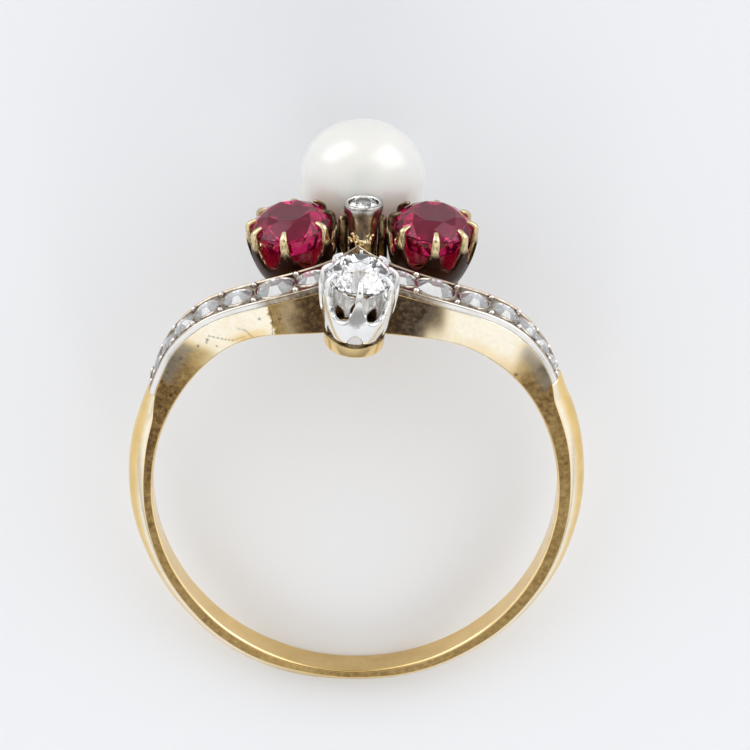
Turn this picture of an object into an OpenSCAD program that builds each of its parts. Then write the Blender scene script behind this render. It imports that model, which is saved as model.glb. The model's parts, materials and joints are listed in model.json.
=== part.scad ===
/* [Hoop] */
// Inside diameter of the finger hole
finger_d = 17.1; // [16.6:0.1:17.6]
// Half of the hoop's width opposite the head
hoop_half_width = 0.77; // [0.6:0.01:0.9]
// Height of the flat underside of the head above the middle of the finger hole
underside_z = 7.3; // [7.2:0.05:7.5]
// Height of the point of the diamond band above the middle of the finger hole
point_z = 9.9; // [9.7:0.05:10]
// How fast the band falls away from its point, per mm to the side
point_fall = 0.27; // [0.23:0.01:0.3]
// How far the back edge of the band runs out to a point behind the straight band
point_back = 1.5; // [1.2:0.02:1.6]
// How far the front edge of the band bends back behind the big diamond
point_front = 0.62; // [0.5:0.02:0.8]

/* [Silver top] */
// Thickness of the silver at its edges
silver_t = 0.28; // [0.24:0.01:0.34]
// Depth of the silver under the small diamonds, let into the gold
keel_t = 0.56; // [0.52:0.01:0.6]
// Angle round the hoop at which the silver ends on the left
silver_end_left = 63.4; // [62.5:0.1:65]
// Angle round the hoop at which the silver ends on the right
silver_end_right = 58.4; // [58.2:0.1:60]

/* [Big diamond] */
// Diameter of the stone
diamond_d = 2.9; // [2.8:0.05:3]
// Length of its setting from the base ring to the girdle
diamond_setting_h = 3.37; // [3.2:0.05:3.5]
// Outside diameter of the base ring
base_ring_d = 2.52; // [2.4:0.02:2.6]
// How far the setting leans to the front, degrees
diamond_lean = 10; // [8:0.5:12]

/* [Rubies] */
// Diameter of each ruby
ruby_d = 3.4; // [3.2:0.05:3.5]
// Length of a ruby setting from its foot to the girdle
ruby_setting_h = 2.4; // [2.2:0.05:2.5]
// How far the ruby settings lean to the front, degrees
ruby_lean = 4; // [0:0.5:6]

/* [Pearl] */
// Diameter of the pearl
pearl_d = 5.3; // [5:0.05:5.4]
// How square the pearl is, where 2 is a ball
pearl_square = 2.3; // [2:0.05:2.5]

/* [Hidden] */

// The ring is drawn upright, as it is worn: X across the finger, Y along it and away
// from the big diamond, Z up to the head, with the middle of the finger hole at zero.
// resting() then lays it on its side, on the pearl and the edge of the hoop.

gold = "#d9b46a";
pale_gold = "#cfae72";
silver = "#d7d8d6";
diamond_white = "#e8eef2";
ruby_red = "#9c1240";
pearl_white = "#f3efe8";

// Hairline left along each solder or setting line
seam = 0.03;
finger_r = finger_d / 2;

// Shape of the hoop, one row for each angle from the head. The two sides differ by hand.
ANGLE = 0; LEFT_WALL = 1; RIGHT_WALL = 2; LEFT_DOME = 3; RIGHT_DOME = 4; HALF = 5;
hoop_rows = [
    // angle, side wall height left and right, rise of the dome above it left and right, half width
    [0, 1.44, 1.44, 0.3, 0.3, 1.12],
    [38, 1.44, 1.44, 0.3, 0.3, 1.12],
    [50, 1.38, 1.36, 0.3, 0.3, 0.98],
    [58, 1.12, 1.12, 0.3, 0.42, 0.9],
    [63, 0.94, 0.84, 0.31, 0.55, 0.86],
    [66, 0.79, 0.77, 0.42, 0.6, 0.84],
    [70, 0.58, 0.72, 0.58, 0.61, 0.83],
    [76, 0.49, 0.67, 0.63, 0.59, 0.81],
    [90, 0.42, 0.57, 0.61, 0.54, 0.79],
    [120, 0.45, 0.54, 0.42, 0.36, 0.78],
    [150, 0.46, 0.43, 0.4, 0.33, 0.77],
    [165, 0.33, 0.38, 0.46, 0.33, 0.77],
    [180, 0.3, 0.3, 0.36, 0.36, 0.77]
];
foot_row = hoop_rows[len(hoop_rows) - 1];

// Small diamonds from the head down the two shoulders
LEFT_AT = 0; RIGHT_AT = 1; SIZE = 2;
small_rows = [
    // angle on the left, angle on the right, diameter
    [11.8, 11.2, 1.25],
    [21.2, 19.9, 1.65],
    [30.8, 30, 1.3],
    [38.6, 38, 1.2],
    [45.6, 44.9, 1.05],
    [51.6, 50.4, 0.9],
    [57.2, 55.3, 0.85]
];
function small_at(side, i) = small_rows[i][side < 0 ? LEFT_AT : RIGHT_AT];

// Slope of a table's column at row i, from the rows on either side of it
function slope(rows, c, i) =
    i == 0 || i == len(rows) - 1 ? 0
    : (rows[i + 1][c] - rows[i - 1][c]) / (rows[i + 1][0] - rows[i - 1][0]);

// Row that starts the span which holds value v
function span(rows, v, i = 0) = i >= len(rows) - 2 || v < rows[i + 1][0] ? i : span(rows, v, i + 1);

// Smooth curve through a table's column
function smooth(rows, c, v) =
    let(
        i = span(rows, v),
        step = rows[i + 1][0] - rows[i][0],
        t = (v - rows[i][0]) / step,
        rise = rows[i + 1][c] - rows[i][c]
    )
    rows[i][c] + rise * t * t * (3 - 2 * t)
    + step * slope(rows, c, i) * t * (1 - t) * (1 - t)
    - step * slope(rows, c, i + 1) * t * t * (1 - t);

// The smaller of two lengths, with the corner between them rounded: high k is sharp
function soft_min(a, b, k) = pow(pow(a, -k) + pow(b, -k), -1 / k);

// The inner surface was left fuller on the right shoulder
right_fill = 0.2;
right_fill_at = 36;
right_fill_spread = 15;

// Radius of the inner surface at angle a from the head: a circle, flat under the head
function inner_r(a) =
    (abs(a) < 75 ? soft_min(finger_r, underside_z / cos(a), 20) : finger_r)
    - right_fill * exp(-pow((a - right_fill_at) / right_fill_spread, 2));

// Radius of the band's top, a thickness of silver above the gold's side wall, and cut off by
// the sloping top of the point
function corner_r(a) =
    let(round_r = finger_r + smooth(hoop_rows, a < 0 ? LEFT_WALL : RIGHT_WALL, abs(a)) + silver_t)
    abs(a) < 75
        ? soft_min(round_r, point_z / (cos(a) + point_fall * abs(sin(a))), 40)
        : round_r;

function dome_h(a) = smooth(hoop_rows, a < 0 ? LEFT_DOME : RIGHT_DOME, abs(a));
function half_w(a) = smooth(hoop_rows, HALF, abs(a)) * (hoop_half_width / foot_row[HALF]);

// The band runs out to a point behind the big diamond, and fades to straight within 1.05 mm
point_reach = 1.05;
function pointed(a) = abs(a) < 90 ? exp(-abs(corner_r(a) * sin(a)) / point_reach) : 0;
function back_edge(a) = half_w(a) + point_back * pointed(a);
function front_edge(a) = -half_w(a) + point_front * pointed(a);
function mid_y(a) = (back_edge(a) + front_edge(a)) / 2;

// A place on the hoop: angle a from the head, y along the finger, radius r
function at(a, y, r) = [r * sin(a), y, r * cos(a)];

// Solid through a list of rings of points, all of one length: joined up, or capped
module skin(rings, closed) {
    n = len(rings);
    m = len(rings[0]);
    last = closed ? n : n - 1;
    sides = [
        for (i = [0 : last - 1], j = [0 : m - 1])
            let(k = (i + 1) % n, l = (j + 1) % m)
            each [[i * m + j, i * m + l, k * m + l], [i * m + j, k * m + l, k * m + j]]
    ];
    caps = closed ? [] : [
        [for (j = [m - 1 : -1 : 0]) j],
        [for (j = [0 : m - 1]) (n - 1) * m + j]
    ];
    polyhedron([for (ring = rings) each ring], concat(sides, caps), convexity = 10);
}

// Angles of the sections: close together over the head and shoulders
head_step = 3;
hoop_step = 5.5;
head_steps = 22;
head_end = head_step * head_steps;
hoop_steps = round((180 - head_end) / hoop_step);
half_angles = concat(
    [for (i = [1 : head_steps]) i * head_step],
    [for (i = [1 : hoop_steps]) head_end + i * (180 - head_end) / hoop_steps]
);

// The silver's end is a small step in the gold, between two close sections
silver_step = 0.5;
function silver_end(side) = side < 0 ? silver_end_left : silver_end_right;
function under_silver(a) = max(0, min(1, 1 - (abs(a) - silver_end(a)) / silver_step));
function gold_angles(side) = [
    for (a = half_angles) if (abs(a - silver_end(side)) > 1.2) a,
    silver_end(side), silver_end(side) + silver_step
];

// Values in rising order
function sorted(v) =
    len(v) < 2 ? v
    : let(p = v[0])
    concat(
        sorted([for (x = v) if (x < p) x]), [p], sorted([for (x = v) if (x > p) x])
    );
gold_round = sorted([0, each gold_angles(1), for (a = gold_angles(-1)) if (a < 180) -a]);

// Sections are lists of [y, radius]. Under the silver the gold has a trough for its keel.
edge_round = 0.09;
keel_in = 0.36;
keel_slope = 0.08;
function trough(front, back, rt) =
    let(re = rt - silver_t, rk = rt - keel_t, i = keel_in, j = keel_in + keel_slope)
    [
        [front, re], [front + i / 2, re], [front + i, re], [front + j, rk],
        [(front + back) / 2, rk],
        [back - j, rk], [back - i, re], [back - i / 2, re], [back, re]
    ];
function dome(front, back, rw, rise) =
    [for (j = [0 : 8]) [front + (back - front) * j / 8, rw + rise * (1 - pow(j / 4 - 1, 2))]];

// Section of the gold: flat inside, with flat side walls, and beyond the silver a domed back
// that meets them in a ridge
function gold_section(a) =
    let(
        front = front_edge(a),
        back = back_edge(a),
        ri = inner_r(a),
        rc = corner_r(a),
        u = under_silver(a),
        open = dome(front, back, rc - silver_t, dome_h(a)),
        cut = trough(front, back, rc)
    )
    concat(
        [[front + edge_round, ri], [front, ri + edge_round]],
        [for (j = [0 : 8]) u * cut[j] + (1 - u) * open[j]],
        [[back, ri + edge_round], [back - edge_round, ri]]
    );

module shank() {
    color(gold) resting() skin(
        [for (a = gold_round) [for (p = gold_section(a)) at(a, p[0], p[1])]],
        closed = true
    );
}

// The silver band and its stones

silver_bevel = 0.1;
silver_steps = 21;
silver_back = 0.15;
function silver_section(a) =
    let(front = front_edge(a), back = back_edge(a), rt = corner_r(a))
    concat(
        [for (p = trough(front, back, rt + seam)) if (abs(p[0] - (front + back) / 2) > 0.01) p],
        [
            [back, rt - silver_bevel], [back - silver_bevel, rt],
            [front + silver_bevel, rt], [front, rt - silver_bevel]
        ]
    );

// Carries what stands on the band at angle a, with its Z square to the band's top
function top_tilt(a) =
    let(p = at(a - 1, 0, corner_r(a - 1)), q = at(a + 1, 0, corner_r(a + 1)))
    -atan2(q[2] - p[2], q[0] - p[0]);
module on_band(a, across = 0) {
    translate(at(a, mid_y(a) + across, corner_r(a))) rotate([0, top_tilt(a), 0]) children();
}

girdle_below = 0.06;
small_girdle = 0.05;
small_pavilion = 0.24;
seat_gap = 0.02;
seat_sides = 20;

// Cup cut for a small stone: straight down past its girdle, and tapered below
module seat(d) {
    r = d / 2 + seat_gap;
    z_girdle = -girdle_below - small_girdle * d - seat_gap;
    z_low = -girdle_below - small_pavilion * d - 2 * seat_gap;
    translate([0, 0, z_low]) cylinder(r1 = 0.1 * d, r2 = r, h = z_girdle - z_low, $fn = seat_sides);
    translate([0, 0, z_girdle - 0.001]) cylinder(r = r, h = 1, $fn = seat_sides);
}

// Grain of silver raised from the band's top and pressed against a stone
grain_d = 0.3;
module grain(d) {
    hull() {
        translate([0, 0, -0.12]) cylinder(d = 1.1 * d, h = 0.12 + 0.16 * d, $fn = 6);
        translate([0, 0, 0.42 * d]) cylinder(d = 0.4 * d, h = 0.01, $fn = 6);
    }
}

// Grains stand in the gaps between neighbouring stones, one at each edge of the band, and
// past the last stone
past_last = 0.62;
module grains(side) {
    n = len(small_rows);
    for (i = [0 : n - 1]) {
        here = small_at(side, i);
        next = i == n - 1 ? silver_end(side) : small_at(side, i + 1);
        share = i == n - 1 ? past_last
            : small_rows[i][SIZE] / (small_rows[i][SIZE] + small_rows[i + 1][SIZE]);
        a = here + (next - here) * share;
        reach = (back_edge(a) - front_edge(a)) / 2 - 0.34;
        for (y = [-reach, reach]) on_band(side * a, y) grain(grain_d);
    }
}

module shoulder_silver() {
    color(silver) resting() {
        difference() {
            skin(
                [
                    for (i = [silver_steps : -1 : -silver_steps])
                        let(a = i * (silver_end(i) - silver_back) / silver_steps)
                        [for (p = silver_section(a)) at(a, p[0], p[1])]
                ],
                closed = false
            );
            for (side = [-1, 1], i = [0 : len(small_rows) - 1])
                on_band(side * small_at(side, i)) seat(small_rows[i][SIZE]);
        }
        for (side = [-1, 1]) grains(side);
    }
}

// Stones

// Round stone with a table, eight stars, eight kites and a ring of girdle facets, in
// shares of its diameter d. Z = 0 is the top of the girdle.
module brilliant(d, table, crown, girdle, pavilion, culet, belly = 0) {
    r = d / 2;
    rt = r * table;
    zt = crown * d;
    zg = -girdle * d;
    zc = zg - pavilion * d;
    rc = r * culet;
    // Corner between two kites, on the planes of both
    rs = (r + 1.15 * rt) / 2.15;
    zs = zt + (rs * cos(22.5) - rt) * (0 - zt) / (r - rt);
    // Corner between two pavilion mains, or halfway down where the stone has a belly
    rp = belly > 0 ? belly * r : 0.3 * r;
    zp = belly > 0 ? (zg + zc) / 2 : zc + (rp * cos(22.5) - rc) * (zg - zc) / (r - rc);
    function loop(n, radius, turn, z) =
        [for (k = [0 : n - 1]) [radius * cos(360 * k / n + turn), radius * sin(360 * k / n + turn), z]];
    pts = concat(
        loop(8, rt, 22.5, zt), loop(8, rs, 0, zs), loop(16, r, 0, 0),
        loop(16, r, 0, zg), loop(8, rp, 0, zp), loop(8, rc, 22.5, zc)
    );
    T = 0; S = 8; G = 16; H = 32; P = 48; C = 56;
    faces = [
        [for (k = [7 : -1 : 0]) T + k],
        for (k = [0 : 7])
            let(l = (k + 1) % 8, g = 2 * k, h = (2 * k + 2) % 16)
            each [
                [T + k, T + l, S + l],
                [T + k, S + l, G + g + 1], [T + k, G + g + 1, S + k],
                [S + k, G + g + 1, G + g], [S + l, G + h, G + g + 1],
                [G + g, G + g + 1, H + g + 1], [G + g, H + g + 1, H + g],
                [G + g + 1, G + h, H + h], [G + g + 1, H + h, H + g + 1],
                [H + g, H + g + 1, P + k], [H + g + 1, H + h, P + l],
                [P + k, H + g + 1, C + k], [H + g + 1, P + l, C + k],
                [C + k, P + l, C + l]
            ],
        [for (k = [0 : 7]) C + k]
    ];
    polyhedron(pts, faces, convexity = 4);
}

// Old single cut: a table, eight crown facets, a girdle and eight facets below
module single_cut(d) {
    r = d / 2;
    r_table = 0.5 * r;
    z_table = 0.17 * d;
    z_girdle = -small_girdle * d;
    z_low = -small_pavilion * d;
    hull() {
        translate([0, 0, z_table - 0.01]) rotate(22.5) cylinder(r = r_table, h = 0.01, $fn = 8);
        translate([0, 0, z_girdle]) rotate(22.5) cylinder(r = r, h = -z_girdle, $fn = 8);
        translate([0, 0, z_low]) rotate(22.5) cylinder(r = 0.1 * r, h = 0.01, $fn = 8);
    }
}

module shoulder_diamond(side, i) {
    color(diamond_white) resting() on_band(side * small_at(side, i - 1))
        translate([0, 0, -girdle_below]) single_cut(small_rows[i - 1][SIZE]);
}

// Coronet: a bowl whose wall is cut down into claws, with the tips bent over the stone.
// Z = 0 is its foot, and girdle_z the stone's girdle. The wall may go on below the foot, to
// be filed off. Each claw is a row: its angle, where -90 is the front, and how high its tip
// stands above the girdle.

TIP = 1;
claw_out = 0.08;
coronet_wall = 0.28;
fine = 40;

module window(a, r, z_low, z_high, w_low, w_high) {
    rotate(a) hull() {
        translate([0, 0, z_low + w_low / 2]) rotate([0, 90, 0]) cylinder(d = w_low, h = r, $fn = 12);
        translate([0, -w_high / 2, z_high]) cube([r, w_high, 0.01]);
    }
}

// Arch cut up from the foot, under a claw
module foot_arch(a, r, w, h) {
    rotate(a) hull() {
        translate([0, -w / 2, -0.02]) cube([r, w, 0.01]);
        translate([0, -w / 5, 0.6 * h]) cube([r, 0.4 * w, 0.01]);
        translate([0, -0.01, h]) cube([r, 0.02, 0.01]);
    }
}

// Room for a stone, from below its girdle to above its crown
girdle_room = 0.16;
crown_room = 0.5;
module stone_room(r) {
    translate([0, 0, -girdle_room - 0.8]) cylinder(r1 = r - 0.33, r2 = r, h = 0.8, $fn = fine);
    translate([0, 0, -girdle_room - 0.001]) cylinder(r = r, h = girdle_room + 0.002, $fn = fine);
    cylinder(r1 = r, r2 = 0.5 * r, h = crown_room * r, $fn = fine);
}

module coronet(stone_d, girdle_z, bowl, thick, tip, over, low, slot, arch, below, claws) {
    n = len(claws);
    r_claw = stone_d / 2 + claw_out;
    r_top = r_claw + thick / 2;
    function bowl_r(z, r) = r * sqrt(1 - pow((girdle_z - z) / bowl, 2));
    top = girdle_z - 0.05;
    outer = [for (i = [0 : 5]) let(z = -below + (top + below) * i / 5) [bowl_r(z, r_top), z]];
    inner = [for (i = [len(outer) - 1 : -1 : 0]) outer[i] - [coronet_wall, 0]];
    function gap(i) = i == n - 1 ? claws[0][ANGLE] + 360 - claws[i][ANGLE]
        : claws[i + 1][ANGLE] - claws[i][ANGLE];
    difference() {
        union() {
            rotate_extrude($fn = fine) polygon(concat(outer, inner));
            for (row = claws) rotate(row[ANGLE]) {
                hull() {
                    z = 0.55 * girdle_z;
                    translate([bowl_r(z, r_claw), 0, z]) sphere(d = 0.85 * thick, $fn = 8);
                    translate([r_claw, 0, girdle_z - 0.12]) sphere(d = thick, $fn = 8);
                }
                hull() {
                    translate([r_claw, 0, girdle_z - 0.12]) sphere(d = thick, $fn = 8);
                    translate([r_claw - over, 0, girdle_z + row[TIP]]) sphere(d = tip, $fn = 8);
                }
            }
        }
        for (i = [0 : n - 1]) window(
            claws[i][ANGLE] + gap(i) / 2, r_top + 1, low, girdle_z + 0.01,
            slot * gap(i) * n / 360, 2 * r_claw * sin(gap(i) / 2) - 1.05 * thick
        );
        if (arch > 0)
            for (row = claws)
                foot_arch(row[ANGLE], r_top, 0.5 * bowl_r(0, r_top) * PI * 2 / n, arch);
        translate([0, 0, girdle_z]) stone_room(stone_d / 2 + seat_gap);
    }
}

// Big diamond, in front of the band, leaning to the front and a little to the right
big_x = -0.13;
big_y = -1.97;
big_z = 7.4;
big_side_lean = 4;
base_ring_h = 0.5;
base_ring_wall = 0.32;
big_claws = [
    // angle, tip height
    [-148, 0.36], [-89, 0.38], [-30, 0.36], [5, 0.36], [48, 0.36], [90, 0.36], [132, 0.36],
    [175, 0.36]
];
module at_big_diamond() {
    translate([big_x, big_y, big_z]) rotate([diamond_lean, big_side_lean, 0]) children();
}

module big_diamond_base_ring() {
    color(gold) resting() at_big_diamond() difference() {
        cylinder(r = base_ring_d / 2, h = base_ring_h, $fn = 64);
        translate([0, 0, -1]) cylinder(r = base_ring_d / 2 - base_ring_wall, h = 3, $fn = 64);
    }
}

big_foot_z = base_ring_h + seam;
big_bowl = 3.95;
module big_diamond_claws() {
    color(silver) resting() at_big_diamond() translate([0, 0, big_foot_z])
        coronet(
            stone_d = diamond_d, girdle_z = diamond_setting_h - big_foot_z, bowl = big_bowl,
            thick = 0.34, tip = 0.16, over = 0.35, low = 1.3, slot = 0.57, arch = 0.72,
            below = 0, claws = big_claws
        );
}

module big_diamond() {
    color(diamond_white) resting() at_big_diamond()
        translate([0, 0, diamond_setting_h - 0.02])
        brilliant(diamond_d, table = 0.48, crown = 0.21, girdle = 0.03, pavilion = 0.42, culet = 0.1);
}

// Rubies, one each side behind the band, in coronets filed to fit it and the plate below.
// Each leans outward and a little to the front, so it is placed by its girdle.
ruby_y = 3.19;
PLACE_X = 0; PLACE_Z = 1; LEAN = 2;
ruby_left = [-2.88, 10.55, -8];
ruby_right = [3.15, 10.6, 5];
ruby_bowl = 3.4;
left_claws = [
    // angle, tip height
    [-149, 0.24], [-99, 0.24], [-36, 0.24], [6, 0.24], [40, 0.42], [85, 0.24], [137, 0.24],
    [178, 0.24]
];
right_claws = [
    // angle, tip height
    [-137, 0.24], [-86, 0.24], [-42, 0.24], [-3, 0.24], [36, 0.24], [86, 0.24], [141, 0.4],
    [176, 0.24]
];
module at_ruby(side) {
    translate([side[PLACE_X], ruby_y, side[PLACE_Z]]) rotate([ruby_lean, side[LEAN], 0])
        translate([0, 0, -ruby_setting_h]) children();
}

// The band with a hairline round it, to file away what would touch it
module band_room() {
    function room(a) =
        let(f = front_edge(a) - seam, b = back_edge(a) + 2 * seam, r = corner_r(a) + 2 * seam)
        [[f, inner_r(a) - 1], [f, r], [b, r], [b, inner_r(a) - 1]];
    skin(
        [for (a = [-36 : 3 : 36]) [for (p = room(a)) at(a, p[0], p[1])]],
        closed = false
    );
}

module ruby_claws(side, claws) {
    color(pale_gold) resting() difference() {
        at_ruby(side) coronet(
            stone_d = ruby_d, girdle_z = ruby_setting_h, bowl = ruby_bowl,
            thick = 0.4, tip = 0.3, over = 0.4, low = 1.02, slot = 0.7, arch = 0,
            below = 0.2, claws = claws
        );
        band_room();
        translate([-10, -10, 0]) cube([20, 20, plate_z + plate_t + seam]);
    }
}
module ruby(side) {
    color(ruby_red) resting() at_ruby(side) translate([0, 0, ruby_setting_h - 0.02]) hull()
        brilliant(
            ruby_d, table = 0.56, crown = 0.17, girdle = 0.03, pavilion = 0.45, culet = 0.06,
            belly = 0.8
        );
}

// Small diamond in a flared cup on a stem, between the rubies and the pearl
collet_x = 0.19;
collet_y = 3.25;
collet_top = 11.52;
collet_foot = 8.22;
collet_r = 0.84;
centre_d = 1.3;
module centre_collet() {
    color(silver) resting() translate([collet_x, collet_y, 0]) rotate_extrude($fn = 48)
        polygon([
            [0.26, collet_foot], [0.5, collet_foot], [0.54, collet_top - 1.15],
            [0.66, collet_top - 0.8], [collet_r - 0.03, collet_top - 0.42],
            [collet_r, collet_top - 0.12], [collet_r - 0.06, collet_top],
            [centre_d / 2 - 0.03, collet_top - 0.03], [centre_d / 2 + seat_gap, collet_top - 0.14],
            [centre_d / 2 + seat_gap, collet_top - 0.2], [0.26, collet_top - 0.78]
        ]);
}
module centre_diamond() {
    color(diamond_white) resting() translate([collet_x, collet_y, collet_top - 0.15])
        brilliant(
            centre_d - 0.02, table = 0.5, crown = 0.16, girdle = 0.02, pavilion = 0.3, culet = 0.08
        );
}

// Pearl, on a peg and a cup behind the rubies
pearl_x = 0.12;
pearl_y = 6.72;
pearl_z = 10.9;
peg_r = 0.4;
peg_top = pearl_z + 0.3;
pearl_r = pearl_d / 2;
pearl_steps = 28;
function pearl_outline(t) =
    let(c = cos(t), s = sin(t), q = 2 / pearl_square)
    [pearl_r * pow(abs(c), q), pearl_r * sign(s) * pow(abs(s), q)];
module pearl() {
    color(pearl_white) resting() translate([pearl_x, pearl_y, pearl_z]) difference() {
        rotate_extrude($fn = 96) polygon([
            for (i = [0 : pearl_steps]) pearl_outline(-90 + 180 * i / pearl_steps)
        ]);
        translate([0, 0, -5]) cylinder(r = peg_r + seam, h = 5 + peg_top - pearl_z + seam, $fn = 32);
    }
}

// Gallery: a plate behind the band that carries the ruby settings, the collet and the
// pearl's cup and peg, soldered as one piece
plate_z = 7.7;
plate_t = 0.42;
plate_r = 1.3;
plate_y = ruby_y + ruby_setting_h * sin(ruby_lean);
cup_r = 1.75;
cup_rim = 0.25;
function plate_x(side) = side[PLACE_X] - ruby_setting_h * sin(side[LEAN]);

// Height of the pearl's underside at radius r, less the seam under it
function under_pearl(r) =
    pearl_z - seam - pearl_r * pow(1 - pow(r / pearl_r, pearl_square), 1 / pearl_square);
module gallery() {
    color(gold) resting() {
        translate([0, 0, plate_z]) linear_extrude(plate_t) difference() {
            union() {
                for (side = [ruby_left, ruby_right])
                    translate([plate_x(side), plate_y]) circle(r = plate_r, $fn = 48);
                translate([collet_x, collet_y]) circle(r = 0.8, $fn = 48);
                translate([plate_x(ruby_left), plate_y - 0.2])
                    square([plate_x(ruby_right) - plate_x(ruby_left), 0.8]);
                translate([pearl_x - 0.55, collet_y]) square([1.1, pearl_y - collet_y]);
            }
            // Clearance behind the band's point
            translate([-1.3, 0]) square([2.6, 1.2 + point_back]);
        }
        // Pearl cup and peg
        translate([pearl_x, pearl_y, 0]) rotate_extrude($fn = 64) polygon([
            [0, plate_z], [0.7, plate_z], [cup_r - cup_rim, under_pearl(cup_r) - cup_rim],
            [cup_r, under_pearl(cup_r) - 0.08],
            for (r = [cup_r : -(cup_r - peg_r) / 4 : peg_r]) [r, under_pearl(r)],
            [peg_r, peg_top], [0, peg_top]
        ]);
    }
}

// Rest on a surface: tilt at which the pearl and the hoop's edge both touch it

// How far the pearl and the hoop reach down when the ring lies tilted by t
function pearl_reach(t) =
    pearl_y * cos(t) - pearl_z * sin(t)
    + max([
        for (i = [0 : pearl_steps])
            let(p = pearl_outline(-90 + 180 * i / pearl_steps)) p[0] * cos(t) - p[1] * sin(t)
    ]);
function hoop_reach(t) = max([for (p = gold_section(180)) p[0] * cos(t) + p[1] * sin(t)]);
function rest_tilt(low = 10, high = 40, n = 24) =
    let(t = (low + high) / 2)
    n == 0 ? t : pearl_reach(t) > hoop_reach(t) ? rest_tilt(t, high, n - 1) : rest_tilt(low, t, n - 1);

tilt = rest_tilt();
pearl_head = pearl_z * cos(tilt) + pearl_y * sin(tilt) + pearl_r;
hoop_foot = -(finger_r + foot_row[LEFT_WALL] + foot_row[LEFT_DOME]) * cos(tilt);
module resting() {
    translate([0, -(pearl_head + hoop_foot) / 2, pearl_reach(tilt)]) rotate([tilt - 90, 0, 0])
        children();
}

shank();
shoulder_silver();
big_diamond();
big_diamond_claws();
big_diamond_base_ring();
centre_diamond();
centre_collet();
ruby(ruby_left);
ruby_claws(ruby_left, left_claws);  // ruby_claws_left
ruby(ruby_right);
ruby_claws(ruby_right, right_claws);  // ruby_claws_right
pearl();
gallery();
for (i = [1 : len(small_rows)]) {
    shoulder_diamond(-1, i);
    shoulder_diamond(1, i);
}
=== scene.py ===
import json
from math import cos, pi, radians, sin

import bmesh
import bpy
import numpy as np
from mathutils import Matrix


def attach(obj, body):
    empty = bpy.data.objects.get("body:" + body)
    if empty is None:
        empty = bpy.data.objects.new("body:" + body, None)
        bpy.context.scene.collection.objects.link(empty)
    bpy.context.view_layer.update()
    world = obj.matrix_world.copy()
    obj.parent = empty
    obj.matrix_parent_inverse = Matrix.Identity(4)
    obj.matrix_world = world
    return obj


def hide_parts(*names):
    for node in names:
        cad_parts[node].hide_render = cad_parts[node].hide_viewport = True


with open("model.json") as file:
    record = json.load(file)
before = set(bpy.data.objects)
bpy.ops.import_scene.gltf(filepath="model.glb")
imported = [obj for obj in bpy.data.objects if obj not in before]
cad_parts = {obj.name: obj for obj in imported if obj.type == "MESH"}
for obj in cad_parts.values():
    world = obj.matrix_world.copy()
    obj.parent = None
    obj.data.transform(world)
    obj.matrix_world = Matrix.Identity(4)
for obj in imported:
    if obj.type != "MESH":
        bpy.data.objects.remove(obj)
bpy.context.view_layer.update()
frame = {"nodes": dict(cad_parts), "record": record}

# Hoop and gold band: 18 carat gold, filed from one bar. It is domed outside and flat on
# both sides, and rises into a pointed band under the stones. The side walls carry brown patina
# with painted dark reflection, painted bright reflection near the head and painted highlights on
# the edges and dome. They darken beside the big setting and show a seam from a repair.

MM = 0.001
finger = frame["record"]["mounts"][0]
middle = np.array(finger["pos_m"])
along = np.array(finger["axis"])
across = np.array([1.0, 0.0, 0.0])
up = np.cross(across, along)


def lay(p):
    """Place in the lying ring of a point of the upright one.

    The point is in mm: x across the finger, y along it and z to the head.
    """
    return middle + MM * (p[..., :1] * across + p[..., 1:2] * along + p[..., 2:3] * up)


def through(table, column, v):
    """Smooth curve through a table's column.

    Each span is a cubic, with its slopes from the rows on either side.
    """
    rows = np.array(table, float)
    x, y = rows[:, 0], rows[:, column]
    slope = np.zeros(len(x))
    slope[1:-1] = (y[2:] - y[:-2]) / (x[2:] - x[:-2])
    i = np.clip(np.searchsorted(x, v, side="right") - 1, 0, len(x) - 2)
    step = x[i + 1] - x[i]
    t = (v - x[i]) / step
    return (
        y[i] + (y[i + 1] - y[i]) * t * t * (3 - 2 * t)
        + step * slope[i] * t * (1 - t) ** 2 - step * slope[i + 1] * t * t * (1 - t)
    )


def soft_min(a, b, k):
    """The smaller of two lengths, with the corner between them rounded."""
    return (a ** -k + b ** -k) ** (-1 / k)


def fade(v, low, high):
    """0 below low, 1 above high and a smooth S between them."""
    t = np.clip((v - low) / (high - low), 0, 1)
    return t * t * (3 - 2 * t)


def bump_at(v, centre, width):
    """Bell curve: 1 at its centre, falling away over its width."""
    return np.exp(-(((v - centre) / width) ** 2))


finger_r = 8.55
underside = 7.3  # height of the flat under the head
flat_end = 75  # angle that neither the flat nor the point reaches
point_up, point_fall = 9.9, 0.27  # height of the band's point, and the slope of its top
point_spread = 1.05  # length over which the point fades into the band
point_back, point_front = 1.5, 0.62  # how far it moves the band's back and front edges
silver_t = 0.28  # thickness of the silver at its edges
hoop_table = [
    # angle from the head, side wall left and right, rise of the dome left and right, half width
    [0, 1.44, 1.44, 0.3, 0.3, 1.12],
    [38, 1.44, 1.44, 0.3, 0.3, 1.12],
    [50, 1.38, 1.36, 0.3, 0.3, 0.98],
    [58, 1.12, 1.12, 0.3, 0.42, 0.9],
    [63, 0.94, 0.84, 0.31, 0.55, 0.86],
    [66, 0.79, 0.77, 0.42, 0.6, 0.84],
    [70, 0.58, 0.72, 0.58, 0.61, 0.83],
    [76, 0.49, 0.67, 0.63, 0.59, 0.81],
    [90, 0.42, 0.57, 0.61, 0.54, 0.79],
    [120, 0.45, 0.54, 0.42, 0.36, 0.78],
    [150, 0.46, 0.43, 0.4, 0.33, 0.77],
    [165, 0.33, 0.38, 0.46, 0.33, 0.77],
    [180, 0.3, 0.3, 0.36, 0.36, 0.77],
]
LEFT_WALL, RIGHT_WALL, LEFT_DOME, RIGHT_DOME, HALF = 1, 2, 3, 4, 5


def by_side(left, right, a):
    """Smooth curve through the left column where the angle is negative, and the right one elsewhere."""
    return np.where(a < 0, through(hoop_table, left, np.abs(a)), through(hoop_table, right, np.abs(a)))


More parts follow.
